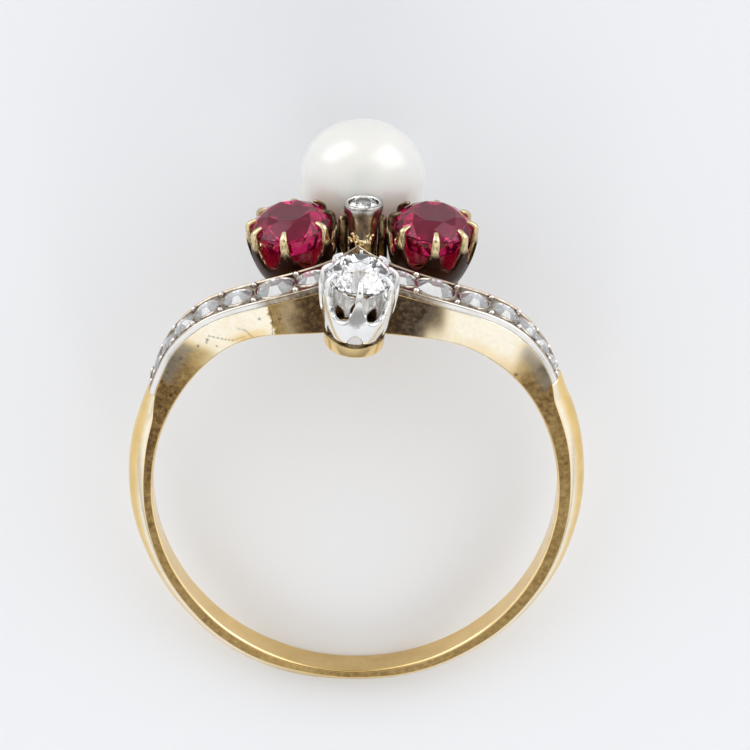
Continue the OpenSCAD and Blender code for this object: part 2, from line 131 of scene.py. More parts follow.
def inner_r(a):
    """Radius of the inside at angle a: a circle, flat under the head and fuller on the right shoulder."""
    flat = underside / np.cos(np.radians(np.clip(np.abs(a), 0, flat_end)))
    r = np.where(np.abs(a) < flat_end, soft_min(finger_r, flat, 20), finger_r)
    return r - 0.2 * bump_at(a, 36, 15)


def top_r(a):
    """Radius of the band's top: silver over the side wall's height, cut off by the point's slopes."""
    r = finger_r + by_side(LEFT_WALL, RIGHT_WALL, a) + silver_t
    b = np.radians(np.clip(np.abs(a), 0, flat_end))
    top = point_up / (np.cos(b) + point_fall * np.sin(b))
    return np.where(np.abs(a) < flat_end, soft_min(r, top, 40), r)


def pointed(a):
    """Share of the band's point at angle a: 1 at the head, fading out to either side."""
    x = np.abs(top_r(a) * np.sin(np.radians(a)))
    return np.where(np.abs(a) < 90, np.exp(-x / point_spread), 0)


def back_edge(a):
    """The band's edge behind, which runs out into the point."""
    return through(hoop_table, HALF, np.abs(a)) + point_back * pointed(a)


def front_edge(a):
    """The band's front edge, set back at the head to leave room for the big setting."""
    return -through(hoop_table, HALF, np.abs(a)) + point_front * pointed(a)


def at(a, y, r):
    """Place at angle a from the head, y along the finger and radius r."""
    b = np.radians(a)
    return np.stack(np.broadcast_arrays(r * np.sin(b), y, r * np.cos(b)), -1)


def quads(rows, cols, rows_close, cols_close):
    """Faces of a grid: each point with the next in its row and its column, round to the first if closed."""
    i = np.arange(rows if rows_close else rows - 1)[:, None]
    j = np.arange(cols if cols_close else cols - 1)[None, :]
    i, j = np.broadcast_arrays(i, j)
    down, on = (i + 1) % rows, (j + 1) % cols
    return np.stack([i * cols + j, down * cols + j, down * cols + on, i * cols + on], -1).reshape(-1, 4)


def make(name, grids, material, nodes=(), marks=None):
    """One closed mesh from grids of points of the upright ring.

    Each grid is (points by row and column, rows close, columns close). A grid whose rows
    don't close ends in a point at each end. Points that meet are merged. marks gives
    values over each grid's points, by their name.
    """
    places, faces, count = [], [], 0
    for points, rows_close, cols_close in grids:
        rows, cols = points.shape[:2]
        faces.append(quads(rows, cols, rows_close, cols_close) + count)
        places.append(points.reshape(-1, 3))
        count += rows * cols
    mesh = bpy.data.meshes.new(name)
    faces = np.concatenate(faces)
    mesh.vertices.add(count)
    mesh.vertices.foreach_set("co", lay(np.concatenate(places)).astype(np.float32).ravel())
    mesh.loops.add(faces.size)
    mesh.loops.foreach_set("vertex_index", faces.astype(np.int32).ravel())
    mesh.polygons.add(len(faces))
    mesh.polygons.foreach_set("loop_start", np.arange(0, faces.size, 4, dtype=np.int32))
    for mark, values in (marks or {}).items():
        layer = mesh.attributes.new(mark, "FLOAT", "POINT")
        layer.data.foreach_set("value", np.concatenate([v.ravel() for v in values]).astype(np.float32))
    mesh.update(calc_edges=True)
    work = bmesh.new()
    work.from_mesh(mesh)
    bmesh.ops.remove_doubles(work, verts=work.verts, dist=2e-7)
    bmesh.ops.recalc_face_normals(work, faces=work.faces)
    for face in work.faces:
        face.smooth = True
    work.to_mesh(mesh)
    work.free()
    mesh.materials.append(material)
    thing = bpy.data.objects.new(name, mesh)
    bpy.context.scene.collection.objects.link(thing)
    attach(thing, "root")
    if nodes:
        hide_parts(*nodes)
    return thing


def put(tree, kind, inputs=(), **settings):
    """Adds a node with its settings.

    Each input, told by its name or number, is a value or another node's output.
    """
    added = tree.nodes.new("ShaderNode" + kind)
    for key, value in settings.items():
        setattr(added, key, value)
    for key, value in dict(inputs).items():
        if isinstance(value, bpy.types.NodeSocket):
            tree.links.new(value, added.inputs[key])
        else:
            added.inputs[key].default_value = value
    return added


def empty_material(name):
    """New material and its tree, without nodes."""
    material = bpy.data.materials.new(name)
    material.use_nodes = True
    material.node_tree.nodes.clear()
    return material, material.node_tree


def cover(tree, inputs):
    """Gives a material its surface, from the inputs of its shader."""
    shader = put(tree, "BsdfPrincipled", inputs)
    tree.links.new(shader.outputs["BSDF"], put(tree, "OutputMaterial").inputs["Surface"])


def group(name, inputs, outputs):
    """New group of nodes with named number inputs (value) and number outputs."""
    tree = bpy.data.node_groups.new(name, "ShaderNodeTree")
    for label, value in inputs.items():
        tree.interface.new_socket(label, in_out="INPUT", socket_type="NodeSocketFloat").default_value = value
    for label in outputs:
        tree.interface.new_socket(label, in_out="OUTPUT", socket_type="NodeSocketFloat")
    return tree, tree.nodes.new("NodeGroupInput").outputs, tree.nodes.new("NodeGroupOutput").inputs


def blend(tree, share, a, b):
    """Colour between a and b: a mix takes its colours as inputs 6 and 7 and gives output 2."""
    return put(tree, "Mix", {0: share, 6: a, 7: b}, data_type="RGBA").outputs[2]


def calc(tree, kind, a, b, clamp=False):
    """Two values added, multiplied and so on, as kind says."""
    return put(tree, "Math", {0: a, 1: b}, operation=kind, use_clamp=clamp).outputs[0]


def marked(tree, name):
    """Value of a mark over the piece's points."""
    return put(tree, "Attribute", attribute_name=name).outputs["Fac"]


def spread(tree, value, low, high, to_low=0.0, to_high=1.0):
    """Value carried from the range low to high into the range to_low to to_high."""
    return put(tree, "MapRange", {
        "Value": value, "From Min": low, "From Max": high, "To Min": to_low, "To Max": to_high,
    }).outputs["Result"]


def in_mm(tree):
    """Place on the piece in millimetres."""
    place = put(tree, "TexCoord").outputs["Object"]
    return put(tree, "Mapping", {"Vector": place, "Scale": (1000, 1000, 1000)}).outputs["Vector"]


def noise(tree, place, scale, detail, roughness=0.6):
    """Cloudy pattern from 0 to 1, finer where the scale is higher."""
    return put(tree, "TexNoise", {
        "Vector": place, "Scale": scale, "Detail": detail, "Roughness": roughness,
    }).outputs["Fac"]


def old_metal():
    """Worn metal's masks: dull patches, fine mottling, dark in pits and where tarnish is told, and dents."""
    tree, given, gives = group(
        "old_metal", {"Tarnish": 0.0, "Roughness": 0.1}, ["Patches", "Mottle", "Dark", "Roughness", "Height"],
    )
    mm = in_mm(tree)
    patches = spread(tree, noise(tree, mm, 0.9, 3.0, 0.55), 0.42, 0.66)
    mottle = spread(tree, noise(tree, mm, 4.5, 5.0, 0.65), 0.35, 0.68)
    cells = put(tree, "TexVoronoi", {"Vector": mm, "Scale": 2.6, "Randomness": 1.0}).outputs["Distance"]
    pits = calc(tree, "MULTIPLY", spread(tree, cells, 0.04, 0.08, 1.0, 0.0), mottle)
    told = calc(tree, "MULTIPLY", given["Tarnish"], spread(tree, mottle, 0.0, 1.0, 0.6, 1.15))
    dark = calc(tree, "ADD", told, calc(tree, "MULTIPLY", pits, 0.35), clamp=True)
    rough = calc(tree, "ADD", given["Roughness"], calc(tree, "MULTIPLY", patches, 0.05))
    height = calc(tree, "ADD", calc(tree, "MULTIPLY", mottle, 0.3), calc(tree, "MULTIPLY", patches, 0.5))
    for label, value in (
        ("Patches", patches), ("Mottle", mottle), ("Dark", dark),
        ("Roughness", calc(tree, "ADD", rough, calc(tree, "MULTIPLY", dark, 0.22))),
        ("Height", calc(tree, "SUBTRACT", height, pits)),
    ):
        tree.links.new(value, gives[label])
    return tree


old_metal_group = old_metal()


def metal(name, bright, dull, dark, roughness, relief, stains=()):
    """Metal finish, from its colour where it is bright, dull and dark.

    The mark "tarnish" darkens it and "matt" takes its shine off. Each stain is one more mark
    with its own colour.
    """
    material, tree = empty_material(name)
    given = {"Tarnish": marked(tree, "tarnish"), "Roughness": roughness}
    worn = put(tree, "Group", given, node_tree=old_metal_group)
    colour = blend(tree, calc(tree, "MULTIPLY", worn.outputs["Patches"], 0.6), (*bright, 1), (*dull, 1))
    broken = spread(tree, worn.outputs["Mottle"], 0.0, 1.0, 0.82, 1.12)
    for mark, stain in stains:
        share = calc(tree, "MULTIPLY", marked(tree, mark), broken, clamp=True)
        colour = blend(tree, share, colour, (*stain, 1))
    colour = blend(tree, worn.outputs["Dark"], colour, (*dark, 1))
    dents = put(tree, "Bump", {"Height": worn.outputs["Height"], "Strength": relief, "Distance": 0.00002})
    shiny = spread(tree, marked(tree, "matt"), 0.0, 1.0, 1.0, 0.1)
    cover(tree, {
        "Base Color": colour, "Roughness": worn.outputs["Roughness"],
        "Metallic": shiny, "Normal": dents.outputs["Normal"],
    })
    return material


gold = metal(
    "worn_gold", (0.92, 0.665, 0.275), (0.8, 0.54, 0.2), (0.05, 0.03, 0.018), 0.13, 0.12,
    # Brown carries patina, painted dark reflection and painted shade; the pale stain carries painted
    # highlights
    stains=(
        ("brown_and_shade", (0.14, 0.078, 0.028)), ("greyed", (0.25, 0.22, 0.175)),
        ("pale_and_highlight", (0.98, 0.93, 0.79)),
    ),
)

silver_ends = (63.4, 58.4)  # angles where the silver ends, on the left and on the right
keel_t = 0.56  # thickness of the silver along its middle
edge_round = 0.1
wall_bulge = 0.008


def trough(front, back, rt):
    """Seat for the silver's keel: [y, radius] pairs from the front edge to the back one."""
    edge, keel = rt - silver_t, rt - keel_t
    inset, slope = 0.36, 0.08
    y = [front, front + inset / 2, front + inset, front + inset + slope, (front + back) / 2,
         back - inset - slope, back - inset, back - inset / 2, back]
    r = [edge, edge, edge, keel, keel, keel, edge, edge, edge]
    return y, r


def past_silver(a):
    """0 under the silver and 1 half a degree past its end, on either side."""
    end = np.where(a < 0, silver_ends[0], silver_ends[1])
    return fade(np.abs(a), end, end + 0.5)


def band_section(a, wall_steps=30, dome_steps=25, back_steps=9):
    """Section of the gold at each angle.

    It is flat inside, with rounded inner edges and upright side walls. Beyond the silver a
    parabola rises from ridge to ridge, and under the silver the trough takes its place.
    """
    front, back, ri, rt = front_edge(a), back_edge(a), inner_r(a), top_r(a)
    open_share = past_silver(a)
    ridge, rise = rt - silver_t, by_side(LEFT_DOME, RIGHT_DOME, a)
    cut_y, cut_r = trough(front, back, rt)
    y_top, r_top = [], []
    for s in np.linspace(0, 1, dome_steps):
        u = s * (len(cut_y) - 1)
        k = min(int(u), len(cut_y) - 2)
        y_cut = cut_y[k] + (cut_y[k + 1] - cut_y[k]) * (u - k)
        r_cut = cut_r[k] + (cut_r[k + 1] - cut_r[k]) * (u - k)
        y_top.append(y_cut + open_share * (front + (back - front) * s - y_cut))
        r_top.append(r_cut + open_share * (ridge + rise * (1 - (2 * s - 1) ** 2) - r_cut))
    quarter = np.linspace(0, pi / 2, 7)
    y = [front + edge_round * (1 - sin(t)) for t in quarter]
    r = [ri + edge_round * (1 - cos(t)) for t in quarter]
    for s in np.linspace(0, 1, wall_steps + 2)[1:-1]:
        y.append(front - wall_bulge * sin(pi * s))
        r.append(ri + edge_round + (ridge - ri - edge_round) * s)
    y += y_top
    r += r_top
    for s in np.linspace(1, 0, back_steps + 2)[1:-1]:
        y.append(back + wall_bulge * sin(pi * s))
        r.append(ri + edge_round + (ridge - ri - edge_round) * s)
    y += [back - edge_round * (1 - sin(t)) for t in quarter[::-1]]
    r += [ri + edge_round * (1 - cos(t)) for t in quarter[::-1]]
    for s in np.linspace(0, 1, 7)[1:-1]:
        y.append(back - edge_round + (front - back + 2 * edge_round) * s)
        r.append(ri)
    return np.stack(np.broadcast_arrays(*y), -1), np.stack(np.broadcast_arrays(*r), -1)


# Sections stand closest over the cracked stretch left of the head
fine_angles = np.concatenate([
    np.linspace(-180, -66, 200, endpoint=False), np.linspace(-66, -45, 76, endpoint=False),
    np.linspace(-45, -20, 200, endpoint=False), np.linspace(-20, 66, 313, endpoint=False),
    np.linspace(66, 180, 200, endpoint=False),
])
band_y, band_r = band_section(fine_angles)
turn = np.radians(fine_angles)[:, None]
ridge_r = (top_r(fine_angles) - silver_t)[:, None]
inside_r = inner_r(fine_angles)[:, None]
front_y = front_edge(fine_angles)[:, None]
angle = np.broadcast_to(fine_angles[:, None], band_y.shape)
up_wall = np.clip((band_r - inside_r) / (ridge_r - inside_r), 0, 1)
on_front = fade(front_y + 0.12 - band_y, 0, 0.06) * (band_r < ridge_r + 0.02)
unworn = on_front * fade(band_r - inside_r, 0.06, 0.11) * fade(ridge_r - band_r, 0.005, 0.04)

# Front side wall charted round the hoop: brown, partly patina and partly painted dark
# reflection, and pale, a painted bright reflection
wall_stain_and_reflection = [
    # angle from the head, brown (patina and painted dark reflection), pale (painted bright reflection)
    [-180, 0.84, 0], [-172, 0.76, 0], [-163, 0.64, 0], [-140, 0.78, 0], [-120, 0.8, 0], [-103, 0.8, 0],
    [-92, 0.88, 0], [-84, 0.94, 0], [-70, 1, 0], [-60, 0.96, 0], [-52, 0.84, 0], [-47, 0.52, 0.1],
    [-43, 0.1, 0.75], [-39, 0.03, 0.95], [-35, 0.05, 0.9], [-27, 0, 1], [-24.4, 0, 1], [-23.6, 0.7, 0],
    [-20, 0.72, 0.05], [-17, 0.95, 0], [-8, 1, 0], [14, 1, 0], [21, 0.9, 0], [26, 0.15, 0.75], [33, 0, 1],
    [42, 0, 1], [46, 0.12, 0.6], [50, 0.45, 0.15], [54, 0.86, 0], [60, 0.92, 0], [72, 0.86, 0], [85, 0.86, 0],
    [95, 0.78, 0], [110, 0.82, 0], [130, 0.78, 0], [150, 0.78, 0], [165, 0.76, 0], [180, 0.84, 0],
]
repair_at = -24
waves = 1.1 * np.sin(5 * up_wall + 0.35 * angle) + 0.5 * np.sin(0.9 * angle + 3 * up_wall)
waved = angle + fade(np.abs(angle - repair_at), 1, 6) * waves
ragged = 1.4 * (1 - up_wall) + 0.25 * np.sin(19 * up_wall) + 0.15 * np.sin(43 * up_wall + 1)
waved = np.clip(waved + ragged * bump_at(angle, repair_at, 4), -180, 180)
brown_and_shade = unworn * np.clip(through(wall_stain_and_reflection, 1, waved), 0, 1)
pale_and_highlight = np.clip(through(wall_stain_and_reflection, 2, waved), 0, 1)
lower = 1 - fade(up_wall, 0.08, 0.5)
pale_and_highlight = on_front * pale_and_highlight * (1 - lower * (0.9 * bump_at(waved, -32, 6) + 0.5 * bump_at(waved, 40, 13)))
# Painted highlights along the inner edge, the front ridge and in two bands across the dome, and painted shade
# in the dome's middle and at the foot
rim = (band_y < front_y + 0.16) * (1 - fade(band_r - inside_r, 0.05, 0.09))
over_dome = np.clip((band_y - front_y) / (back_edge(fine_angles)[:, None] - front_y), 0, 1)
on_dome = past_silver(angle) * fade(band_r - ridge_r, 0.0, 0.03)
ridge_line = past_silver(angle) * bump_at(over_dome, 0.02, 0.05) * fade(band_r, ridge_r - 0.03, ridge_r)
at_foot = 1 - fade(180 - np.abs(angle), 8, 40)
dome_highlight = 0.6 * bump_at(over_dome, 0.06, 0.08) + 0.2 * bump_at(over_dome, 0.62, 0.2)
painted_highlight = 0.7 * ridge_line + on_dome * dome_highlight
pale_and_highlight = np.clip(pale_and_highlight + (0.3 * rim + painted_highlight) * (1 - at_foot), 0, 1)
inside_face = (band_r < inside_r + 0.09) & (up_wall < 0.5)
# Painted shade on the dome: a little in its middle and more at the foot
dome_painted_shade = on_dome * (0.06 * bump_at(over_dome, 0.3, 0.12) + 0.3 * at_foot)
brown_and_shade = np.clip(brown_and_shade + dome_painted_shade + 0.3 * inside_face * at_foot, 0, 1)
silver_side = fade(-np.abs(np.abs(waved) - 52), -7, -4)
greyed = unworn * np.clip(
    0.85 * silver_side * fade(up_wall, 0.35, 0.85)
    + 0.8 * bump_at(waved, 18, 5) + 0.3 * bump_at(waved, -19, 3), 0, 1,
)
# Darkening beside the big setting, blotches down the sides, pits, and cracks as lines from place to place
tarnish = 0.85 * fade(waved, -19, -14) * (1 - fade(waved, 17, 24)) + 0.35 * bump_at(waved, 13, 5)
blotches = (
    # angle, share of the wall's height, size in degrees
    (-86, 0.5, 2.2), (-103, 0.75, 1.5), (-75, 0.8, 2.5), (-54, 0.95, 3.0), (53, 0.95, 2.5),
)
for a0, share0, size in blotches:
    tarnish = tarnish + 0.5 * bump_at(waved, a0, size) * bump_at(up_wall, share0, 0.3)
arc_mm = np.radians(angle) * band_r
pit_rows = (
    # angle, radius, size in mm
    (-61, 8.9, 0.07), (-61.8, 9.05, 0.05), (-59.5, 8.8, 0.05), (-27.1, 8.97, 0.055), (50.5, 8.66, 0.08),
    (-44.9, 9.42, 0.05), (-41.9, 9.38, 0.06), (-42.6, 9.3, 0.04), (-41.2, 8.9, 0.04), (-22, 8.63, 0.05),
    (-21.4, 8.8, 0.04), (-50.6, 9.53, 0.05), (-55.9, 9.58, 0.05), (-65.4, 9.04, 0.07), (-66, 8.75, 0.06),
)
for a0, r0, size in pit_rows:
    tarnish = tarnish + np.exp(-(np.hypot(arc_mm - np.radians(a0) * band_r, band_r - r0) / size) ** 2)
crack_rows = (
    # from angle and radius to angle and radius, depth of the mark, half width in mm
    (-41, 9.5, -38.6, 9.0, 0.7, 0.022), (-38.6, 9.0, -36.6, 8.7, 0.7, 0.022),
    (-36.6, 8.7, -33.2, 8.55, 0.6, 0.022), (-33.6, 9.05, -32.1, 8.8, 0.35, 0.04),
    (-32.1, 8.8, -31.4, 8.35, 0.35, 0.04), (-23.3, 9.5, -24.0, 8.7, 0.7, 0.022),
    (-24.0, 8.7, -25.9, 8.1, 0.7, 0.022), (-22, 8.95, -22.5, 8.5, 0.5, 0.022),
    (-22.5, 8.5, -24.8, 8.05, 0.5, 0.022), (-58.6, 9.6, -59.8, 9.2, 0.5, 0.04),
    (-59.8, 9.2, -58.2, 9.0, 0.5, 0.04), (-63.3, 9.55, -63.6, 9.1, 0.6, 0.035),
)
wall_r = 8.9  # radius at which the cracks' angles are taken as lengths
for a0, r0, a1, r1, deep, half in crack_rows:
    x0, x1 = radians(a0) * wall_r, radians(a1) * wall_r
    px, py = np.radians(angle) * wall_r - x0, band_r + 0.03 * np.sin(9 * angle) - r0
    along_line = np.clip((px * (x1 - x0) + py * (r1 - r0)) / ((x1 - x0) ** 2 + (r1 - r0) ** 2), 0, 1)
    away = np.hypot(px - along_line * (x1 - x0), py - along_line * (r1 - r0))
    tarnish = tarnish + deep * np.exp(-((away / half) ** 2))
tarnish = np.clip(tarnish, 0, 1) * unworn
band_r = band_r + 0.008 * np.sin(3 * turn + 1) * np.sin(2.3 * band_y) + 0.004 * np.sin(17 * turn + 2 * band_y)
band_y = band_y + 0.01 * np.sin(5 * turn + 0.7) * np.cos(7 * turn + band_r)
make(
    "gold_hoop", [(at(fine_angles[:, None], band_y, band_r), True, True)], gold, ["shank"],
    {"tarnish": [tarnish], "brown_and_shade": [brown_and_shade], "greyed": [greyed], "pale_and_highlight": [pale_and_highlight]},
)

# Silver top of the band: a strip of silver soldered on the gold, cut out for each small
# diamond. Thin rails stand along both edges, and grains raised between the stones hold
# them. The floor between them is dark with old tarnish.

small_table = [
    # angle from the head on the left and on the right, diameter
    [11.8, 11.2, 1.25], [21.2, 19.9, 1.65], [30.8, 30.0, 1.3], [38.6, 38.0, 1.2], [45.6, 44.9, 1.05],
    [51.6, 50.4, 0.9], [57.2, 55.3, 0.85],
]
seam = 0.03  # gap between two soldered pieces
joint = 0.012  # gap between the silver and its gold seat
rail_w = 0.11
floor_drop = 0.06  # depth of the floor under the rails
stone_drop = 0.06  # depth of the stones' edges under the rails
grain_r, grain_rise = 0.15, 0.17
grain_inset = 0.34  # from the band's edge to a grain's middle
last_grain = 0.62  # share of the way from the last stone to the silver's end


def mid_y(a):
    """Middle of the band along the finger."""
    return (back_edge(a) + front_edge(a)) / 2


def grain_places(side):
    """Angles and offsets of one side's grains: one at each edge in every gap and past the last stone."""
    n = len(small_table)
    column = 0 if side < 0 else 1
    places = []
    for i, row in enumerate(small_table):
        if i < n - 1:
            after = small_table[i + 1]
            gap = row[column] + (after[column] - row[column]) * row[2] / (row[2] + after[2])
        else:
            gap = row[column] + (silver_ends[column] - row[column]) * last_grain
        gap = np.array(side * gap)
        reach = float(back_edge(gap) - front_edge(gap)) / 2 - grain_inset
        places += [(float(gap), y) for y in (-reach, reach)]
    return places


# Columns of its section, in order: the front's upright side, its bevel, the top and the rest
upright_cols, side_cols, top_cols = 4, 8, 60
on_side, on_bevel = slice(0, upright_cols), slice(upright_cols, side_cols)
on_top, past_top = slice(side_cols, side_cols + top_cols), slice(side_cols + top_cols, None)
strip_share = np.linspace(-1, 1, 1151)
strip_ends = np.array(silver_ends) - 0.15
strip_a = (strip_share * np.where(strip_share < 0, *strip_ends))[:, None]
span = np.linspace(0, 1, top_cols)[None, :]
strip_front, strip_back, strip_top = front_edge(strip_a), back_edge(strip_a), top_r(strip_a)
bevel = 0.09
top_y = strip_front + bevel + (strip_back - strip_front - 2 * bevel) * span
from_edge = np.minimum(top_y - strip_front, strip_back - top_y)
relief = -floor_drop * fade(from_edge, rail_w, rail_w + 0.08)
dirt = 0.55 * fade(from_edge, rail_w - 0.02, rail_w + 0.06)
beige = 0.5 + 0.4 * fade(from_edge, 0.04, 0.14) + 0 * strip_a
arc = np.radians(strip_a) * strip_top
for side, column in ((-1, 0), (1, 1)):
    for row in small_table:
        a0, d = side * row[column], row[2]
        r = d / 2 + 0.02
        before, here, after = (float(top_r(np.array(a0 + step))) for step in (-1, 0, 1))
        # Lengths from the stone's middle, along the slope of the band's top and across it
        stretch = np.hypot(1, (after - before) / (here * radians(2)))
        from_x, from_y = (arc - radians(a0) * here) * stretch, top_y - float(mid_y(np.array(a0)))
        away, around = np.hypot(from_x, from_y), np.arctan2(from_y, from_x)
        girdle = stone_drop + 0.05 * d + 0.02
        cup = -girdle - np.clip(1 - away / r, 0, 1) * (0.19 * d + 0.02)
        lip = bump_at(away, r + 0.06, 0.05) * (away > r)
        relief = np.maximum(relief, -floor_drop + lip * floor_drop)
        relief = relief + (cup - relief) * fade(r + 0.035 - away, 0, 0.035)
        # Painted shade: eight dark blades under each stone, which its facets scatter as dark reflections
        painted_facet_shade = fade(np.sin(8 * around + a0), -0.1, 0.5) * fade(away / r, 0.15, 0.4)
        under_stone = 1 - fade(away, r - 0.02, r + 0.04)
        dirt = dirt * (1 - under_stone) * (1 - 0.4 * lip) + 0.5 * painted_facet_shade * under_stone
        dirt = dirt + 0.6 * bump_at(away, r + 0.13, 0.04) * (np.sin(5 * around + 2 * a0) > 0.1)
        beige = beige * (1 - under_stone) * (1 - 0.35 * lip)
    for a0, y0 in grain_places(side):
        here = float(top_r(np.array(a0)))
        away = np.hypot(arc - radians(a0) * here, top_y - float(mid_y(np.array(a0))) - y0)
        dome = np.sqrt(np.clip(1 - (away / grain_r) ** 2, 0, 1))
        relief = np.maximum(relief, -floor_drop + grain_rise * dome - 0.2 * (dome == 0))
        dirt = dirt * (1 - fade(dome, 0.2, 0.7)) + 0.75 * bump_at(away, grain_r + 0.03, 0.05)
        beige = beige * (1 - 0.75 * fade(dome, 0.3, 0.8))
top_line = strip_top + relief
under_y, under_r = trough(strip_front, strip_back, strip_top + joint)
under_y = np.concatenate([np.broadcast_to(y, strip_a.shape) for y in under_y[::-1]], 1)
under_r = np.concatenate([np.broadcast_to(r, strip_a.shape) for r in under_r[::-1]], 1)
side_steps = np.linspace(0, 1, upright_cols + 1)[None, :-1]
side_y = np.concatenate([
    strip_front + 0 * side_steps,
    strip_front + bevel * (1 - np.cos(pi / 2 * side_steps)),
], 1)
side_r = np.concatenate([
    strip_top - silver_t + joint + (silver_t - joint - bevel) * side_steps,
    strip_top - bevel + bevel * np.sin(pi / 2 * side_steps),
], 1)
strip_y = np.concatenate([side_y, top_y, (strip_back - (side_y - strip_front))[:, ::-1], under_y[:, 1:-1]], 1)
strip_r = np.concatenate([side_r, top_line, side_r[:, ::-1], under_r[:, 1:-1]], 1)
strip_y = strip_y + 0.01 * np.sin(9 * np.radians(strip_a) + 1)
# The front side is darker and browner beside the big setting, and paler further out
beside_big_setting = fade(strip_a, -27, -23) * (1 - fade(strip_a, 18, 25))
nearer = fade(strip_a, -20, -14) * (1 - fade(strip_a, 14, 20))
strip_dirt, strip_brown = np.zeros(strip_y.shape), np.zeros(strip_y.shape)
strip_dirt[:, on_side] = 0.3 * beside_big_setting + 0.6 * nearer + 0.25 * bump_at(np.abs(strip_a), 51, 5)
strip_dirt[:, on_bevel] = 0.25 * beside_big_setting + 0.4 * nearer
strip_dirt[:, on_top] = np.clip(dirt, 0, 1)
strip_brown[:, :side_cols] = 0.12 + 0.8 * beside_big_setting
upper_bevel = slice(side_cols - 2, side_cols)
strip_brown[:, upper_bevel] = np.maximum(0.6, strip_brown[:, upper_bevel])
strip_brown[:, on_top] = np.clip(beige, 0, 1)
strip_brown[:, past_top] = 0.6
strip = at(strip_a, strip_y, strip_r)
# Each end is closed by drawing its section in to its middle
first, last = strip[:1].mean(1, keepdims=True), strip[-1:].mean(1, keepdims=True)
ends = [np.broadcast_to(end, strip[:1].shape) for end in (first, last)]
strip = np.concatenate([ends[0], strip, ends[1]])
strip_dirt, strip_brown = (np.concatenate([v[:1], v, v[-1:]]) for v in (strip_dirt, strip_brown))
silver = metal(
    "old_silver", (0.93, 0.93, 0.92), (0.8, 0.79, 0.77), (0.075, 0.05, 0.036), 0.12, 0.15,
    stains=(("brown_and_shade", (0.44, 0.35, 0.24)),),
)
make(
    "silver_band", [(strip, False, True)], silver, ["shoulder_silver"],
    {"tarnish": [strip_dirt], "brown_and_shade": [strip_brown]},
)

# Diamonds: old cut stones, colourless and polished. The big one, with a high crown and an
# open culet, and the one over it are held by their settings. The small ones are single cut
# and held by grains raised from the silver.


def gem(name, colour, ior, roughness, clear=1.0, sheen=(1.0, 1.0, 1.0)):
    """Cut stone that bends light as the real one does, with faint wear on its facets.

    It is milky where it isn't quite clear, and sheen tints what its facets reflect.
    """
    material, tree = empty_material(name)
    wear = spread(tree, noise(tree, in_mm(tree), 3.0, 4.0), 0.45, 0.8, roughness, roughness + 0.06)
    cover(tree, {
        "Base Color": (*colour, 1), "Roughness": wear, "IOR": ior,
        "Transmission Weight": clear, "Metallic": 0.0, "Specular Tint": (*sheen, 1),
    })
    return material


def finish_node(name, material):
    """Gives a node of the frame its finish."""
    thing = frame["nodes"][name]
    thing.data.materials.clear()
    thing.data.materials.append(material)


diamond_ior = 2.42
diamond = gem("diamond", (0.98, 0.985, 1.0), diamond_ior, 0.0)
small_diamond = gem("small_diamond", (0.96, 0.98, 1.0), diamond_ior, 0.0, clear=0.7)
for node_name in ["big_diamond", "centre_diamond"]:
    finish_node(node_name, diamond)
for side in ("left", "right"):
    for i in range(1, len(small_table) + 1):
        finish_node(f"shoulder_diamond_{side}_{i}", small_diamond)

# Big diamond's setting: a silver cup pierced with a window between each two claws, and cut
# up into points at its foot. It is soldered on a plain gold ring.


def turned(x, y):
    """Rotation that leans a setting by x degrees to the front and y degrees to the right."""
    cx, sx, cy, sy = cos(radians(x)), sin(radians(x)), cos(radians(y)), sin(radians(y))
    lean_x = np.array([[1, 0, 0], [0, cx, -sx], [0, sx, cx]])
    lean_y = np.array([[cy, 0, sy], [0, 1, 0], [-sy, 0, cy]])
    return lean_y @ lean_x


def stand(points, foot, lean):
    """Places points of an upright setting, with its foot and its lean to the front and right."""
    return points @ turned(*lean).T + np.array(foot)


def cup_radius(z, r, girdle, bowl):
    """Radius of a bowl that narrows from r at the girdle to its foot, as an ellipse."""
    return r * np.sqrt(np.clip(1 - ((girdle - z) / bowl) ** 2, 0, 1))


wall_cols = 9  # columns up each side of a coronet's wall


